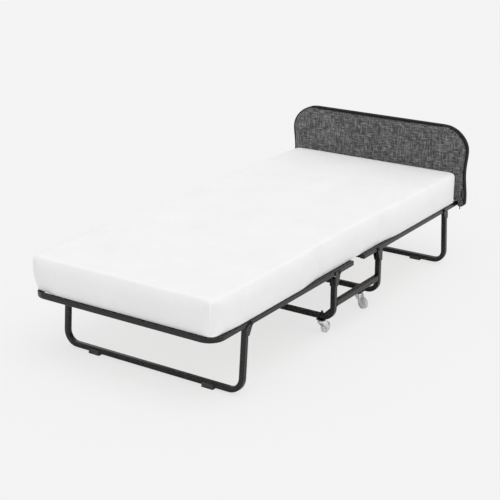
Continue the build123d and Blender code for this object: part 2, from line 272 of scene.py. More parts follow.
def round_edges(points, low, high, corner, top_edge, low_edge):
    """Rounds the upper and lower edges of an upright block."""
    depth, out = outline_depth(points[:, :2], low[:2], high[:2], corner)
    for level, sign, edge in ((high[2], 1.0, top_edge), (low[2], -1.0, low_edge)):
        drop = sign * (level - points[:, 2])
        near = (depth < edge) & (drop < edge)
        reach = np.stack([edge - depth, edge - drop], axis=1)
        moved = onto_arc(reach) - reach
        points[near, :2] += out[near] * moved[near, :1]
        points[near, 2] += sign * moved[near, 1]
    return points


def swept(name, route, normals, section, closed=False, scales=None):
    """A section, given across the route and along its normals, carried along a route of points."""
    route = np.asarray(route, float)
    normals = np.asarray(normals, float)
    count = len(route)
    if closed:
        tangents = np.roll(route, -1, axis=0) - np.roll(route, 1, axis=0)
    else:
        tangents = np.gradient(route, axis=0)
    tangents /= np.linalg.norm(tangents, axis=1)[:, None]
    across = np.cross(tangents, normals)
    across /= np.linalg.norm(across, axis=1)[:, None]
    scales = np.ones(count) if scales is None else np.asarray(scales)
    points = []
    for place, side, normal, scale in zip(route, across, normals, scales):
        points += [place + scale * (a * side + b * normal) for a, b in section]
    sides = len(section)
    faces = []
    for ring in range(count if closed else count - 1):
        start = ring * sides
        following = (ring + 1) % count * sides
        for side in range(sides):
            beside = (side + 1) % sides
            faces.append([start + side, following + side, following + beside, start + beside])
    if not closed:
        faces.append(list(range(sides)))
        faces.append([(count - 1) * sides + side for side in reversed(range(sides))])
    return new_piece(name, points, faces)


def ring_section(radius, sides):
    """The points of a round section."""
    turns = [2 * math.pi * side / sides for side in range(sides)]
    return [(radius * math.cos(turn), radius * math.sin(turn)) for turn in turns]


def spaced(route, step, closed=False):
    """A route's points again, evenly spaced."""
    route = np.asarray(route, float)
    if closed:
        route = np.vstack([route, route[:1]])
    lengths = np.linalg.norm(np.diff(route, axis=0), axis=1)
    along = np.concatenate([[0.0], np.cumsum(lengths)])
    count = max(2, round(along[-1] / step))
    stations = np.linspace(0, along[-1], count + 1)
    if closed:
        stations = stations[:-1]
    return np.stack([np.interp(stations, along, route[:, axis]) for axis in range(3)], axis=1)


def joined(name, parts):
    """Several pieces as one."""
    points = []
    faces = []
    for part in parts:
        start = len(points)
        points += list(read_points(part.data))
        faces += [[start + index for index in polygon.vertices] for polygon in part.data.polygons]
        mesh = part.data
        bpy.data.objects.remove(part)
        bpy.data.meshes.remove(mesh)
    return new_piece(name, points, faces)


# Filling a cover

def swell(piece, hold, caps, pressure, slack):
    """Fills a closed cover by a short cloth simulation. No point moves further than its cap."""
    start = read_points(piece.data)
    group = piece.vertex_groups.new(name="held")
    for weight in np.unique(hold):
        group.add([int(index) for index in np.flatnonzero(hold == weight)], float(weight), "REPLACE")
    filling = piece.modifiers.new("filling", "CLOTH")
    for key, value in cloth_settings.items():
        setattr(filling.settings, key, value)
    filling.settings.uniform_pressure_force = pressure
    filling.settings.shrink_min = slack
    filling.settings.vertex_group_mass = group.name
    filling.settings.effector_weights.gravity = 0
    filling.collision_settings.use_collision = False
    for step in range(1, cloth_steps + 1):
        scene.frame_set(step)
    filled = piece.evaluated_get(bpy.context.evaluated_depsgraph_get())
    move = read_points(filled.data) - start
    piece.modifiers.remove(filling)
    piece.vertex_groups.remove(group)
    scene.frame_set(1)
    length = np.linalg.norm(move, axis=1)
    share = caps * np.tanh(length / caps) / np.maximum(length, 1e-9)
    write_points(piece.data, start + move * share[:, None])


def smoothed(piece):
    """Replaces a piece's mesh by its subdivided one."""
    piece.modifiers.new("finer", "SUBSURF").levels = 1
    finer = piece.evaluated_get(bpy.context.evaluated_depsgraph_get())
    mesh = bpy.data.meshes.new_from_object(finer)
    piece.modifiers.clear()
    rough = piece.data
    piece.data = mesh
    mesh.name = piece.name
    bpy.data.meshes.remove(rough)
    return piece


# Mattress

def side_bow(places, centre, half):
    """Moves flat (x, y) places out along the cover's sides: most at the right, and less at the left."""
    stations = np.array(bow_places)
    depths = np.array(bow_depths)
    index = np.clip(np.searchsorted(stations, places[:, 0]) - 1, 0, len(stations) - 2)
    step = (places[:, 0] - stations[index]) / (stations[index + 1] - stations[index])
    depth = depths[index] + (depths[index + 1] - depths[index]) * smooth_step(step)
    across = (places[:, 1] - centre) / half
    places[:, 1] += across * depth * np.where(across > 0, bow_far_share, 1.0)
    return places


def corner_tuck(points, low, high):
    """How far the cover's left-hand corners draw in, most at the bottom."""
    height = smooth_step(1 - (points[:, 2] - low[2]) / tuck_height)
    to_end = np.minimum(points[:, 0] - low[0], high[0] - points[:, 0])
    to_side = high[1] - points[:, 1]
    near = smooth_step(1 - to_end / tuck_width) * smooth_step(1 - to_side / tuck_width)
    _, out = outline_depth(points[:, :2], low[:2], high[:2], cover_corner)
    return out * ((tuck_all + tuck_low * height) * near)[:, None]


def under_hollow(points, low, high):
    """How far the cover's underside stands up by the pivots."""
    inner, full, full_end, outer = hollow_places
    along = np.abs(points[:, 0])
    rise = smooth_step((along - inner) / (full - inner)) * smooth_step((outer - along) / (outer - full_end))
    inset = np.minimum(points[:, 1] - low[1], high[1] - points[:, 1])
    near, far = hollow_margin
    return hollow_depth * rise * smooth_step((inset - near) / (far - near))


def mattress_cover():
    """The whole mattress cover, filled, before it is cut at the fold."""
    low = np.array(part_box("mattress_foot")[0]) + cover_room
    high = np.array(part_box("mattress_head")[1]) - cover_room
    low[2] -= cover_room
    foot_lines = graded(low[0], 0.0, cover_cell, fine_low=cover_fine_cells)
    head_lines = graded(0.0, high[0], cover_cell, fine_high=cover_fine_cells)
    x_lines = np.concatenate([foot_lines, head_lines[1:]])
    y_lines = graded(low[1], high[1], cover_cell, cover_fine_cells, cover_fine_cells)
    z_lines = graded(low[2], high[2], cover_cell, cover_fine_cells, cover_fine_cells)
    points, faces = slab(x_lines, y_lines, z_lines, lambda i, j: True)
    points[:, :2] = round_outline(points[:, :2], low[:2], high[:2], cover_corner)
    under = points[:, 2] <= low[2] + 1e-6
    upper = points[:, 2] >= high[2] - 1e-6
    points = round_edges(points, low, high, cover_corner, cover_top_edge, cover_low_edge)
    points[:, :2] = side_bow(points[:, :2], (low[1] + high[1]) / 2, (high[1] - low[1]) / 2)
    points[:, :2] -= corner_tuck(points, low, high)
    points[under, 2] += under_hollow(points[under], low, high)
    piece = new_piece("mattress_cover", points, faces)
    hold = np.where(under, 1.0, np.where(upper, cover_top_hold, 0.0))
    caps = np.where(upper, cover_top_cap, cover_side_cap)
    swell(piece, hold, caps, cover_pressure, cover_slack)
    return smoothed(piece)


def mattress_half(whole, name, sign):
    """The foot or head length of the cover, closed at the fold's middle."""
    points = read_points(whole.data)
    index = {}
    faces = []
    for polygon in whole.data.polygons:
        if polygon.center.x * sign > 0:
            faces.append([index.setdefault(v, len(index)) for v in polygon.vertices])
    kept = points[list(index)]
    edges = {}
    for face in faces:
        for first, second in zip(face, face[1:] + face[:1]):
            edges[(first, second)] = True
    rim = {second: first for first, second in edges if (second, first) not in edges}
    start = next(iter(rim))
    loop = [start]
    while rim[loop[-1]] != start:
        loop.append(rim[loop[-1]])
    faces.append(loop)
    piece = new_piece(name, kept, faces)
    cap = piece.data.polygons[len(faces) - 1]
    cap.use_smooth = False
    around = {frozenset(key) for key in cap.edge_keys}
    for edge in piece.data.edges:
        if frozenset(edge.vertices) in around:
            edge.use_edge_sharp = True
    return piece


def corner_seam(name, whole_tree, x_sign, y_sign, low, high):
    """A raised seam down one corner of the cover, laid on its surface."""
    centre = Vector((
        (high.x if x_sign > 0 else low.x) - x_sign * cover_corner,
        (high.y if y_sign > 0 else low.y) - y_sign * cover_corner,
        0.0,
    ))
    out = Vector((x_sign, y_sign, 0.0)).normalized()
    route = []
    normals = []
    bottom = low.z + seam_foot_clear
    top = high.z - cover_top_edge / 2
    for level in np.linspace(bottom, top, round((top - bottom) / seam_step) + 1):
        origin = Vector((centre.x, centre.y, level)) + 3 * cover_corner * out
        place, normal, _, _ = whole_tree.ray_cast(origin, -out)
        route.append(place)
        normals.append(normal)
    section = [
        (-seam_half_width, -seam_height / 2),
        (-seam_half_width / 2, seam_height / 2),
        (0.0, seam_height),
        (seam_half_width / 2, seam_height / 2),
        (seam_half_width, -seam_height / 2),
    ]
    return swept(name, route, normals, section)


# Headboard

def sleeve_limits():
    """The sleeve's lowest and highest corner, and the height of its notch over the rails."""
    low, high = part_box("headboard_cover")
    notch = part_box("head_rail")[1].z + sleeve_rail_clear
    return low, high, notch


def side_wave(height):
    """How far the sleeve's sides stand out at a height."""
    turn = 2 * math.pi * (height - sleeve_wave_height) / sleeve_wave_length
    return sleeve_wave_mean + sleeve_wave * np.cos(turn)


def wave_sides(places, half_width):
    """Moves flat (y, z) places out or in with the sides' wave."""
    places[:, 0] *= 1 + side_wave(places[:, 1]) / half_width
    return places


def headboard_sleeve():
    """The felt sleeve: two padded panels and their legs beside the rails."""
    low, high, notch = sleeve_limits()
    half = high.y
    legs = graded(-half, -half + sleeve_leg_width, sleeve_leg_width / 3)
    middle = graded(-half + sleeve_leg_width, half - sleeve_leg_width, sleeve_cell)
    y_lines = np.concatenate([legs[:-1], middle, -legs[::-1][1:]])
    foot = graded(low.z, notch, sleeve_cell / 2)
    z_lines = np.concatenate([foot[:-1], graded(notch, high.z, sleeve_cell)])
    x_lines = graded(low.x + sleeve_room, high.x - sleeve_room, sleeve_cell / 2)
    leg_columns = len(legs) - 1
    foot_rows = len(foot) - 1
    columns = len(y_lines) - 1

    def kept(i, j):
        return j >= foot_rows or i < leg_columns or i >= columns - leg_columns

    points, faces = slab(y_lines, z_lines, x_lines, kept)
    flat_low = np.array([-half, low.z])
    flat_high = np.array([half, high.z])
    corner = np.where(points[:, 1] > notch, sleeve_corner, sleeve_leg_corner)
    points[:, :2] = round_outline(points[:, :2], flat_low, flat_high, corner)
    points[:, :2] = wave_sides(points[:, :2], half)
    piece = new_piece("headboard_sleeve", points[:, [2, 0, 1]], faces)
    inside = (points[:, 2] > x_lines[0] + 1e-6) & (points[:, 2] < x_lines[-1] - 1e-6)
    hold = np.where(inside, 1.0, 0.0)
    swell(piece, hold, np.full(len(points), sleeve_cap), sleeve_pressure, 0.0)
    return smoothed(piece)


def sleeve_outline():
    """The sleeve's outer edge from the right leg's foot over the top to the left leg's foot."""
    low, high, _ = sleeve_limits()
    half = high.y
    places = [(-half + sleeve_leg_width, low.z), (-half + sleeve_leg_corner, low.z)]
    turns = np.linspace(0, math.pi / 2, 9)
    for turn in turns:
        out = sleeve_leg_corner * np.array([-math.sin(turn), -math.cos(turn)])
        places.append((-half + sleeve_leg_corner + out[0], low.z + sleeve_leg_corner + out[1]))
    for turn in turns:
        out = sleeve_corner * np.array([-math.cos(turn), math.sin(turn)])
        places.append((-half + sleeve_corner + out[0], high.z - sleeve_corner + out[1]))
    places += [(-y, z) for y, z in reversed(places)]
    centre_x = (low.x + high.x) / 2
    route = spaced([(centre_x, y, z) for y, z in places], band_step)
    route[:, 1:] = wave_sides(route[:, 1:], half)
    tangents = np.gradient(route, axis=0)
    normals = np.stack([np.zeros(len(route)), tangents[:, 2], -tangents[:, 1]], axis=1)
    normals *= -1
    return route, normals / np.linalg.norm(normals, axis=1)[:, None]


def sleeve_band(route, normals):
    """The dark band round the sleeve's edge, sewn between the two panels."""
    low, high, _ = sleeve_limits()
    half = (high.x - low.x) / 2 - sleeve_room
    section = [
        (-half, -band_thickness),
        (-half, band_thickness / 2),
        (-half / 2, band_thickness),
        (0.0, band_thickness),
        (half / 2, band_thickness),
        (half, band_thickness / 2),
        (half, -band_thickness),
    ]
    return swept("headboard_band", route, normals, section)


def sleeve_piping(route, normals, name, side):
    """A thin piping cord in the seam between a panel and the band."""
    low, high, _ = sleeve_limits()
    shift = side * ((high.x - low.x) / 2 - sleeve_room)
    edge = route + np.array([shift, 0.0, 0.0])
    return swept(name, edge, normals, ring_section(piping_radius, piping_sides))


def sleeve_stitches(route, normals):
    """Two rows of stitches along the band."""
    low, high, _ = sleeve_limits()
    half = (high.x - low.x) / 2 - sleeve_room - stitch_inset
    along = spaced(route, stitch_pitch)
    lengths = np.linalg.norm(route[:, None, :] - along[None, :, :], axis=2)
    outward = normals[lengths.argmin(axis=0)]
    tangents = np.gradient(along, axis=0)
    tangents /= np.linalg.norm(tangents, axis=1)[:, None]
    stitches = []
    for side in (-half, half):
        for place, normal, tangent in zip(along, outward, tangents):
            middle = place + np.array([side, 0.0, 0.0]) + normal * band_thickness
            ends = [middle - tangent * stitch_length / 2, middle, middle + tangent * stitch_length / 2]
            ends[1] = ends[1] + normal * stitch_radius
            stitches.append(swept("stitch", ends, [normal] * 3, ring_section(stitch_radius, 5)))
    return joined("headboard_stitches", stitches)


# Welds

def tube_bead(name, centre, axis, halves, corner):
    """A weld bead round a tube's end, on a face square to the given axis."""
    first, second = [other for other in range(3) if other != axis]
    steps = []
    for quarter in range(4):
        for turn in np.linspace(0, math.pi / 2, 5):
            angle = quarter * math.pi / 2 + turn
            corner_place = (np.array(halves) - corner) * np.array([
                (1, -1, -1, 1)[quarter],
                (1, 1, -1, -1)[quarter],
            ])
            flat = corner_place + corner * np.array([math.cos(angle), math.sin(angle)])
            step = np.array(centre, float)
            step[first] += flat[0]
            step[second] += flat[1]
            steps.append(step)
    route = spaced(steps, bead_step, closed=True)
    normals = np.zeros_like(route)
    normals[:, axis] = 1.0
    along = np.arange(len(route)) * bead_step
    scales = 1 + bead_ripple * np.sin(2 * math.pi * along / bead_pitch)
    section = ring_section(bead_radius, bead_sides)
    return swept(name, route, normals, section, closed=True, scales=scales)


def end_bar_welds(half):
    """The beads where a half's cross tube meets its rails."""
    low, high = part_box(f"{half}_end_bar")
    size = high.z - low.z
    beads = []
    for y in (low.y, high.y):
        centre = ((low.x + high.x) / 2, y, (low.z + high.z) / 2)
        beads.append(tube_bead("bead", centre, 1, (size / 2, size / 2), bead_corner))
    return joined(f"{half}_end_bar_welds", beads)


def base_welds():
    """The beads where the long bars meet the base loops."""
    low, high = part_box("base_bars")
    loop_low, loop_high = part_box("base_loop_foot")
    width = loop_high.x - loop_low.x
    halves = (width / 2, (high.z - low.z) / 2)
    beads = []
    for x in (low.x, high.x):
        for y in (low.y + width / 2, high.y - width / 2):
            centre = (x, y, (low.z + high.z) / 2)
            beads.append(tube_bead("bead", centre, 0, halves, bead_corner))
    return joined("base_welds", beads)


# Shader node groups

def feed(tree, socket, value):
    """Links a socket to another one, or sets its value."""
    if isinstance(value, bpy.types.NodeSocket):
        tree.links.new(value, socket)
    else:
        socket.default_value = value


def add(tree, kind, inputs=None, **settings):
    """A new shader node with its settings and inputs."""
    node = tree.nodes.new(f"ShaderNode{kind}")
    for key, value in settings.items():
        setattr(node, key, value)
    for key, value in (inputs or {}).items():
        feed(tree, node.inputs[key], value)
    return node


def maths(tree, operation, *values):
    """The outcome of a sum on sockets or numbers."""
    node = add(tree, "Math", operation=operation)
    for socket, value in zip(node.inputs, values):
        feed(tree, socket, value)
    return node.outputs[0]


def ranged(tree, value, low, high, to_low=0.0, to_high=1.0):
    """A value brought from one range to another, and kept within it."""
    inputs = {"Value": value, "From Min": low, "From Max": high, "To Min": to_low, "To Max": to_high}
    return add(tree, "MapRange", inputs).outputs["Result"]


def noise_value(tree, place, scale, **inputs):
    """Noise at a place, about 0.5 on average."""
    return add(tree, "TexNoise", {"Vector": place, "Scale": scale, **inputs}).outputs["Fac"]


def mixed(tree, factor, first, second):
    """Two colours mixed by a factor."""
    node = add(tree, "Mix", data_type="RGBA")
    feed(tree, node.inputs[0], factor)
    feed(tree, node.inputs[6], first)
    feed(tree, node.inputs[7], second)
    return node.outputs[2]


def new_group(name, inputs, outputs):
    """A new node group with its named sockets."""
    group = bpy.data.node_groups.new(name, "ShaderNodeTree")
    for label, kind, value in inputs:
        socket = group.interface.new_socket(label, in_out="INPUT", socket_type=f"NodeSocket{kind}")
        if value is not None:
            socket.default_value = value
    for label in outputs:
        group.interface.new_socket(label, in_out="OUTPUT", socket_type="NodeSocketFloat")
    return group, group.nodes.new("NodeGroupInput").outputs, group.nodes.new("NodeGroupOutput").inputs


def mottle_group():
    """Soft uneven patches."""
    inputs = [
        ("Place", "Vector", None),
        ("Size", "Float", 0.02),
        ("Low", "Float", 0.35),
        ("High", "Float", 0.65),
    ]
    group, given, result = new_group("mottle", inputs, ["Mask"])
    scale = maths(group, "DIVIDE", 1.0, given["Size"])
    noise = noise_value(group, given["Place"], scale, Detail=4.0, Roughness=0.55)
    feed(group, result["Mask"], ranged(group, noise, given["Low"], given["High"]))
    return group


def weave_group():
    """Plain weave on every side of a piece, from threads along its axes, with a mask for painted shade in
    the gaps between threads.
    """
    inputs = [("Place", "Vector", None), ("Pitch", "Float", 0.001), ("Wander", "Float", 0.0002)]
    group, given, result = new_group("weave", inputs, ["Height", "Painted Gap Shade"])
    noise = add(group, "TexNoise", {"Vector": given["Place"], "Scale": 140.0, "Detail": 2.0})
    shift = add(group, "VectorMath", operation="MULTIPLY_ADD")
    feed(group, shift.inputs[0], noise.outputs["Color"])
    feed(group, shift.inputs[1], given["Wander"])
    feed(group, shift.inputs[2], given["Place"])
    place = add(group, "SeparateXYZ", {"Vector": shift.outputs[0]})
    facing = add(group, "SeparateXYZ", {"Vector": add(group, "TexCoord").outputs["Normal"]})
    turn = maths(group, "DIVIDE", math.pi, given["Pitch"])
    waves = [maths(group, "SINE", maths(group, "MULTIPLY", place.outputs[axis], turn)) for axis in range(3)]
    height = 0.0
    for axis in range(3):
        first, second = [other for other in range(3) if other != axis]
        crossing = maths(group, "MULTIPLY", waves[first], waves[second])
        weight = maths(group, "POWER", maths(group, "ABSOLUTE", facing.outputs[axis]), 3.0)
        height = maths(group, "MULTIPLY_ADD", crossing, weight, height)
    feed(group, result["Height"], height)
    # Painted shade: the mask is 1 where the threads dip between their crossings
    feed(group, result["Painted Gap Shade"], ranged(group, maths(group, "ABSOLUTE", height), 0.0, 0.35, 1.0, 0.0))
    return group


def fibre_group():
    """Short loose fibres lying two ways, as in a melange cloth."""
    inputs = [("Place", "Vector", None), ("Length", "Float", 0.012), ("Width", "Float", 0.0025)]
    group, given, result = new_group("fibres", inputs, ["Light", "Dark"])
    fine = maths(group, "DIVIDE", 1.0, given["Width"])
    coarse = maths(group, "DIVIDE", 1.0, given["Length"])
    layers = []
    for stretch in ((fine, coarse, fine), (fine, fine, coarse)):
        scale = add(group, "CombineXYZ", dict(zip("XYZ", stretch)))
        place = add(group, "VectorMath", operation="MULTIPLY")
        feed(group, place.inputs[0], given["Place"])
        feed(group, place.inputs[1], scale.outputs[0])
        layers.append(noise_value(group, place.outputs[0], 1.0, Detail=3.0))
    feed(group, result["Light"], ranged(group, maths(group, "MAXIMUM", *layers), 0.50, 0.74))
    feed(group, result["Dark"], ranged(group, maths(group, "MINIMUM", *layers), 0.46, 0.28))
    return group


def wear_group():
    """Rubbed edges, broken up along their length."""
    inputs = [("Place", "Vector", None), ("Radius", "Float", 0.0015), ("Amount", "Float", 1.0)]
    group, given, result = new_group("edge_wear", inputs, ["Mask"])
    soft = add(group, "Bevel", {"Radius": given["Radius"]}, samples=4)
    turned = add(group, "VectorMath", operation="DOT_PRODUCT")
    feed(group, turned.inputs[0], soft.outputs["Normal"])
    feed(group, turned.inputs[1], add(group, "NewGeometry").outputs["Normal"])
    edge = ranged(group, turned.outputs["Value"], 0.985, 0.88)
    noise = noise_value(group, given["Place"], 75.0, Detail=5.0, Roughness=0.6)
    broken = ranged(group, noise, 0.45, 0.68)
    mask = maths(group, "MULTIPLY", maths(group, "MULTIPLY", edge, broken), given["Amount"])
    feed(group, result["Mask"], mask)
    return group


def dust_group():
    """Dust that thins out with height over the floor."""
    inputs = [("Place", "Vector", None), ("Height", "Float", 0.12), ("Amount", "Float", 0.3)]
    group, given, result = new_group("floor_dust", inputs, ["Mask"])
    level = add(group, "SeparateXYZ", {"Vector": given["Place"]}).outputs["Z"]
    fall = ranged(group, level, 0.0, given["Height"], 1.0, 0.0)
    noise = noise_value(group, given["Place"], 60.0, Detail=6.0, Roughness=0.7)
    patches = ranged(group, noise, 0.35, 0.75)
    mask = maths(group, "MULTIPLY", maths(group, "MULTIPLY", fall, patches), given["Amount"])
    feed(group, result["Mask"], mask)
    return group


groups = {
    "mottle": mottle_group(),
    "weave": weave_group(),
    "fibres": fibre_group(),
    "wear": wear_group(),
    "dust": dust_group(),
}


def effect(tree, name, **inputs):
    """One of the shared effects, placed in a material with its own values."""
    node = tree.nodes.new("ShaderNodeGroup")
    node.node_tree = groups[name]
    for key, value in inputs.items():
        feed(tree, node.inputs[key], value)
    return node.outputs


# Materials

def new_material(name, **constants):
    """A material with its node tree, main shader and the place on the object."""
    material = bpy.data.materials.new(name)
    material.use_nodes = True
    tree = material.node_tree
    shader = tree.nodes["Principled BSDF"]
    for key, value in constants.items():
        shader.inputs[key.replace("_", " ")].default_value = value
    place = tree.nodes.new("ShaderNodeTexCoord").outputs["Object"]
    return material, tree, shader, place


def bumped(tree, shader, height, distance, strength):
    """A bump on a material's surface, of the given depth in metres."""
    node = add(tree, "Bump", {"Height": height, "Distance": distance, "Strength": strength})
    feed(tree, shader.inputs["Normal"], node.outputs["Normal"])


def powder_coat():
    """Black semi-gloss powder coat on tube, with rubbed edges and dust low down."""
    material, tree, shader, place = new_material("black_powder_coat", IOR=1.43)
    patches = effect(tree, "mottle", Place=place, Size=0.035)["Mask"]
    wear = effect(tree, "wear", Place=place, Radius=0.0016, Amount=0.40)["Mask"]
    dust = effect(tree, "dust", Place=place, Height=0.08, Amount=0.06)["Mask"]
    coat = mixed(tree, patches, (0.0030, 0.0030, 0.0033, 1), (0.0050, 0.0050, 0.0053, 1))
    rubbed = mixed(tree, wear, coat, (0.060, 0.060, 0.060, 1))
    feed(tree, shader.inputs["Base Color"], mixed(tree, dust, rubbed, (0.20, 0.20, 0.20, 1)))
    gloss = ranged(tree, patches, 0.0, 1.0, 0.24, 0.32)
    feed(tree, shader.inputs["Roughness"], maths(tree, "MULTIPLY_ADD", dust, 0.5, gloss))
    peel = noise_value(tree, place, 620.0, Detail=2.0)
    bumped(tree, shader, peel, 0.0002, 0.22)
    return material


def blackened_steel():
    """Blackened bolts, bright where a spanner has touched them."""
    material, tree, shader, place = new_material("blackened_bolts", Metallic=0.85)
    wear = effect(tree, "wear", Place=place, Radius=0.0010, Amount=0.9)["Mask"]
    patches = effect(tree, "mottle", Place=place, Size=0.004)["Mask"]
    dark = mixed(tree, patches, (0.030, 0.030, 0.032, 1), (0.050, 0.049, 0.048, 1))
    feed(tree, shader.inputs["Base Color"], mixed(tree, wear, dark, (0.33, 0.32, 0.31, 1)))
    feed(tree, shader.inputs["Roughness"], ranged(tree, patches, 0.0, 1.0, 0.34, 0.48))
    return material


def moulded_black():
    """Black moulded plastic with a fine spark-eroded grain."""
    material, tree, shader, place = new_material("moulded_black", IOR=1.48)
    dust = effect(tree, "dust", Place=place, Height=0.05, Amount=0.35)["Mask"]
    patches = effect(tree, "mottle", Place=place, Size=0.006)["Mask"]
    dark = mixed(tree, patches, (0.016, 0.016, 0.017, 1), (0.023, 0.023, 0.024, 1))
    feed(tree, shader.inputs["Base Color"], mixed(tree, dust, dark, (0.23, 0.22, 0.21, 1)))
    feed(tree, shader.inputs["Roughness"], ranged(tree, patches, 0.0, 1.0, 0.48, 0.60))
    grain = add(tree, "TexVoronoi", {"Vector": place, "Scale": 1400.0})
    bumped(tree, shader, grain.outputs["Distance"], 0.0002, 0.25)
    return material


def birch_slat():
    """Lacquered birch, grained along its length, with its plies on the long edges."""
    material, tree, shader, place = new_material("birch_slats", Coat_Roughness=0.25, IOR=1.5)
    shader.inputs["Coat Weight"].default_value = 0.35
    stretch = add(tree, "Mapping", {"Vector": place, "Scale": (95.0, 3.2, 95.0)})
    grain = noise_value(tree, stretch.outputs[0], 1.0, Detail=6.0, Distortion=0.6)
    pores = noise_value(tree, stretch.outputs[0], 5.0, Detail=3.0)
    rings = ranged(tree, grain, 0.36, 0.66)
    wood = mixed(tree, rings, (0.62, 0.43, 0.25, 1), (0.74, 0.56, 0.36, 1))
    specks = ranged(tree, pores, 0.60, 0.72)
    wood = mixed(tree, specks, wood, (0.42, 0.27, 0.14, 1))
    facing = add(tree, "SeparateXYZ", {"Vector": tree.nodes["Texture Coordinate"].outputs["Normal"]})
    edge = ranged(tree, maths(tree, "ABSOLUTE", facing.outputs["X"]), 0.6, 0.8)
    parts = add(tree, "SeparateXYZ", {"Vector": place})
    low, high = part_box("foot_slat_1")
    crown = (high.z - low.z - slat_thickness) / high.y ** 2
    bow = maths(tree, "MULTIPLY", maths(tree, "POWER", parts.outputs["Y"], 2.0), crown)
    depth = maths(tree, "DIVIDE", maths(tree, "ADD", parts.outputs["Z"], bow), slat_thickness / slat_plies)
    ply = ranged(tree, maths(tree, "PINGPONG", depth, 1.0), 0.45, 0.55)
    plies = maths(tree, "MULTIPLY", maths(tree, "MULTIPLY", ply, edge), 0.7)
    feed(tree, shader.inputs["Base Color"], mixed(tree, plies, wood, (0.36, 0.22, 0.11, 1)))
    feed(tree, shader.inputs["Roughness"], ranged(tree, grain, 0.3, 0.7, 0.36, 0.52))
    bumped(tree, shader, grain, 0.0004, 0.25)
    return material


def zinc_steel():
    """Bright zinc plate with faint spangles."""
    material, tree, shader, place = new_material("bright_zinc", Metallic=1.0)
    patches = effect(tree, "mottle", Place=place, Size=0.005)["Mask"]
    dust = effect(tree, "dust", Place=place, Height=0.06, Amount=0.12)["Mask"]
    bright = mixed(tree, patches, (0.76, 0.77, 0.79, 1), (0.86, 0.87, 0.88, 1))
    feed(tree, shader.inputs["Base Color"], mixed(tree, dust, bright, (0.38, 0.37, 0.36, 1)))
    feed(tree, shader.inputs["Roughness"], ranged(tree, patches, 0.0, 1.0, 0.16, 0.27))
    return material


def clear_wheel():
    """Clear moulded tyre, dulled on the tread."""
    constants = {"Transmission_Weight": 0.55, "IOR": 1.46}
    material, tree, shader, place = new_material("clear_wheels", **constants)
    dust = effect(tree, "dust", Place=place, Height=0.05, Amount=0.4)["Mask"]
    clear = mixed(tree, dust, (0.97, 0.975, 0.98, 1), (0.86, 0.86, 0.85, 1))
    feed(tree, shader.inputs["Base Color"], clear)
    feed(tree, shader.inputs["Roughness"], ranged(tree, dust, 0.0, 0.4, 0.10, 0.26))
    return material


def cotton_cover(name, darker, lighter):
    """White woven cotton with faint laid creases, and painted shade between its threads."""
    constants = {"Sheen_Weight": 0.25, "Sheen_Roughness": 0.4, "IOR": 1.4}
    material, tree, shader, place = new_material(name, **constants)
    weave = effect(tree, "weave", Place=place, Pitch=0.0011, Wander=0.0009)
    patches = effect(tree, "mottle", Place=place, Size=0.16, Low=0.3, High=0.7)["Mask"]
    cloth = mixed(tree, patches, darker, lighter)
    # Painted shade: the cloth darkens towards grey in the gaps between threads
    shade = maths(tree, "MULTIPLY", weave["Painted Gap Shade"], 0.18)
    feed(tree, shader.inputs["Base Color"], mixed(tree, shade, cloth, (0.70, 0.70, 0.71, 1)))
    feed(tree, shader.inputs["Roughness"], ranged(tree, patches, 0.0, 1.0, 0.80, 0.90))
    stretch = add(tree, "Mapping", {"Vector": place, "Scale": (9.0, 9.0, 4.0)})
    creases = noise_value(tree, stretch.outputs[0], 1.0, Detail=3.0, Distortion=0.8)
    folds = add(tree, "Bump", {"Height": creases, "Distance": 0.012, "Strength": 0.35})
    threads = add(tree, "Bump", {"Height": weave["Height"], "Distance": 0.0004, "Strength": 0.25})
    feed(tree, threads.inputs["Normal"], folds.outputs["Normal"])
    feed(tree, shader.inputs["Normal"], threads.outputs["Normal"])
    return material


def melange_felt():
    """Dark grey melange felt with paler fibres."""
    constants = {"Sheen_Weight": 0.35, "Sheen_Roughness": 0.5, "Roughness": 0.95}
    material, tree, shader, place = new_material("grey_melange_felt", **constants)
    fibres = effect(tree, "fibres", Place=place, Length=0.030, Width=0.0040)
    weave = effect(tree, "weave", Place=place, Pitch=0.0028, Wander=0.002)
    patches = effect(tree, "mottle", Place=place, Size=0.03)["Mask"]
    ground = mixed(tree, patches, (0.046, 0.046, 0.047, 1), (0.066, 0.066, 0.067, 1))
    pale = mixed(tree, fibres["Light"], ground, (0.30, 0.30, 0.302, 1))
    feed(tree, shader.inputs["Base Color"], mixed(tree, fibres["Dark"], pale, (0.022, 0.022, 0.023, 1)))
    fuzz = maths(tree, "MULTIPLY_ADD", weave["Height"], 0.4, fibres["Light"])
    bumped(tree, shader, fuzz, 0.0010, 0.5)
    return material


def band_tape():
    """Black woven tape of the headboard's edge, with painted shade between its threads."""
    constants = {"Sheen_Weight": 0.06, "Sheen_Roughness": 0.4, "IOR": 1.25}
    material, tree, shader, place = new_material("black_tape", **constants)
    weave = effect(tree, "weave", Place=place, Pitch=0.0016, Wander=0.0003)
    patches = effect(tree, "mottle", Place=place, Size=0.02)["Mask"]
    dark = mixed(tree, patches, (0.006, 0.006, 0.006, 1), (0.011, 0.011, 0.011, 1))
    # Painted shade: darker still in the gaps between threads
    feed(tree, shader.inputs["Base Color"], mixed(tree, weave["Painted Gap Shade"], dark, (0.003, 0.003, 0.003, 1)))
    feed(tree, shader.inputs["Roughness"], ranged(tree, patches, 0.0, 1.0, 0.72, 0.86))
    bumped(tree, shader, weave["Height"], 0.0006, 0.5)
    return material


def raw_board():
    """Plain pressed board inside the headboard."""
    material, tree, shader, place = new_material("pressed_board", Roughness=0.85)
    chips = effect(tree, "mottle", Place=place, Size=0.006)["Mask"]
    board = mixed(tree, chips, (0.40, 0.29, 0.18, 1), (0.55, 0.43, 0.29, 1))
    feed(tree, shader.inputs["Base Color"], board)
    return material


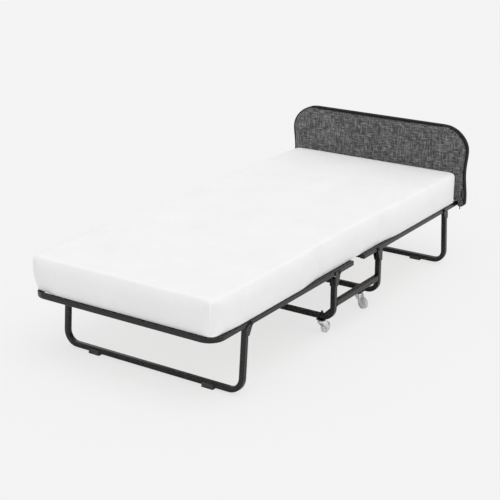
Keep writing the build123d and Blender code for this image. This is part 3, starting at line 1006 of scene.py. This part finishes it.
def dark_nickel():
    """Dark nickel of the zip's tail."""
    material, tree, shader, place = new_material("dark_nickel", Metallic=1.0)
    patches = effect(tree, "mottle", Place=place, Size=0.002)["Mask"]
    metal = mixed(tree, patches, (0.16, 0.16, 0.165, 1), (0.25, 0.25, 0.255, 1))
    feed(tree, shader.inputs["Base Color"], metal)
    feed(tree, shader.inputs["Roughness"], ranged(tree, patches, 0.0, 1.0, 0.25, 0.38))
    return material


finishes = {
    "black_tube": powder_coat(),
    "dark_bolts": blackened_steel(),
    "black_plastic": moulded_black(),
    "slat_wood": birch_slat(),
    "zinc_steel": zinc_steel(),
    "clear_wheel": clear_wheel(),
    "mattress_cover": cotton_cover("white_cotton", (0.838, 0.838, 0.846, 1), (0.868, 0.868, 0.875, 1)),
    "headboard_felt": melange_felt(),
    "panel_board": raw_board(),
    "zip_metal": dark_nickel(),
}
tape = band_tape()
# The seams get a lighter copy of the cotton: a painted highlight for their ridges catching the light
seam_highlight_cotton = cotton_cover("seam_cotton_painted_highlight", (0.93, 0.93, 0.935, 1), (0.95, 0.95, 0.955, 1))


def finish_nodes():
    """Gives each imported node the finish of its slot."""
    for part in frame["record"]["subparts"]:
        node = frame["nodes"][part["node"]]
        node.data.materials.clear()
        node.data.materials.append(finishes[part["material_slot"]])


def dress(piece, body, slot, material=None):
    """Gives a new piece its finish and the body that carries it."""
    piece.data.materials.clear()
    piece.data.materials.append(material or finishes[slot])
    if body:
        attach(piece, body)
    return piece


# Putting the soft parts on the frame

def dress_mattress():
    """The mattress cover in two lengths, closed at the fold's middle, and its corner seams."""
    whole = mattress_cover()
    depsgraph = bpy.context.evaluated_depsgraph_get()
    surface = BVHTree.FromObject(whole, depsgraph)
    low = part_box("mattress_foot")[0]
    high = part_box("mattress_head")[1]
    for half, sign in (("foot", -1), ("head", 1)):
        for side, y_sign in (("right", -1), ("left", 1)):
            seam = corner_seam(f"cover_seam_{half}_{side}", surface, sign, y_sign, low, high)
            # Each seam wears the lighter cotton, a painted highlight on its ridge
            dress(seam, f"{half}_half", "mattress_cover", seam_highlight_cotton)
        piece = mattress_half(whole, f"mattress_cover_{half}", sign)
        dress(piece, None, "mattress_cover")
        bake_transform(piece)
        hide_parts(f"mattress_{half}", "mattress_middle")
    bpy.data.objects.remove(whole)


def dress_headboard():
    """The sleeve with its band, piping and stitches."""
    sleeve = dress(headboard_sleeve(), "head_half", "headboard_felt")
    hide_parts("headboard_cover")
    route, normals = sleeve_outline()
    dress(sleeve_band(route, normals), "head_half", "headboard_felt", tape)
    for name, side in (("headboard_piping_front", -1), ("headboard_piping_back", 1)):
        dress(sleeve_piping(route, normals, name, side), "head_half", "headboard_felt", tape)
    dress(sleeve_stitches(route, normals), "head_half", "headboard_felt", tape)


def dress_welds():
    """The weld beads on the frame."""
    for half in ("foot", "head"):
        dress(end_bar_welds(half), f"{half}_half", "black_tube")
    dress(base_welds(), "base", "black_tube")


# Room

def seen_share(tree, straight, mirrored):
    """One share for what is seen straight, one for a mirror or glass, and 0 for the light that bounces."""
    rays = add(tree, "LightPath").outputs
    mirror = maths(tree, "MAXIMUM", rays["Is Glossy Ray"], rays["Is Transmission Ray"])
    by_camera = maths(tree, "MULTIPLY", rays["Is Camera Ray"], straight)
    by_mirror = maths(tree, "MULTIPLY", mirror, mirrored)
    return maths(tree, "MAXIMUM", by_camera, by_mirror)


def pale_floor():
    """A plain pale floor, with its shadow softened where it is seen."""
    corners = [(-floor_half, -floor_half, 0), (floor_half, -floor_half, 0)]
    corners += [(floor_half, floor_half, 0), (-floor_half, floor_half, 0)]
    floor = new_piece("floor", corners, [[0, 1, 2, 3]])
    material, tree, shader, _ = new_material("pale_floor", Base_Color=floor_colour, Roughness=0.9)
    shader.inputs["Specular IOR Level"].default_value = 0.0
    glow = add(tree, "Emission", {"Color": backdrop_colour})
    both = add(tree, "MixShader", {"Fac": seen_share(tree, backdrop_share, mirror_share)})
    feed(tree, both.inputs[1], shader.outputs["BSDF"])
    feed(tree, both.inputs[2], glow.outputs["Emission"])
    feed(tree, tree.nodes["Material Output"].inputs["Surface"], both.outputs["Shader"])
    floor.data.materials.append(material)


def soft_light():
    """An even sky and one broad sun, so that the floor is equally bright all over."""
    world = bpy.data.worlds.new("pale_sky")
    world.use_nodes = True
    tree = world.node_tree
    sky = tree.nodes["Background"].inputs
    sky["Color"].default_value = (1, 1, 1, 1)
    seen = seen_share(tree, 1.0, 1.0)
    feed(tree, sky["Strength"], ranged(tree, seen, 0.0, 1.0, sky_strength, backdrop_colour[0]))
    scene.world = world
    lamp = bpy.data.lights.new("broad_sun", "SUN")
    lamp.energy = sun_strength
    lamp.angle = sun_spread
    sun = bpy.data.objects.new("broad_sun", lamp)
    sun.rotation_euler = sun_turn
    scene.collection.objects.link(sun)


def photo_camera():
    """The camera at the picture's angle."""
    data = bpy.data.cameras.new("camera")
    data.lens = camera_lens
    data.clip_end = 200
    camera = bpy.data.objects.new("camera", data)
    level = math.cos(camera_elevation)
    back = Vector((
        math.sin(camera_azimuth) * level,
        -math.cos(camera_azimuth) * level,
        math.sin(camera_elevation),
    ))
    camera.location = camera_place
    camera.rotation_euler = (-back).to_track_quat("-Z", "Y").to_euler()
    scene.collection.objects.link(camera)
    scene.camera = camera


scene.view_settings.view_transform = "Standard"
finish_nodes()
dress_mattress()
dress_headboard()
dress_welds()
pale_floor()
soft_light()
photo_camera()
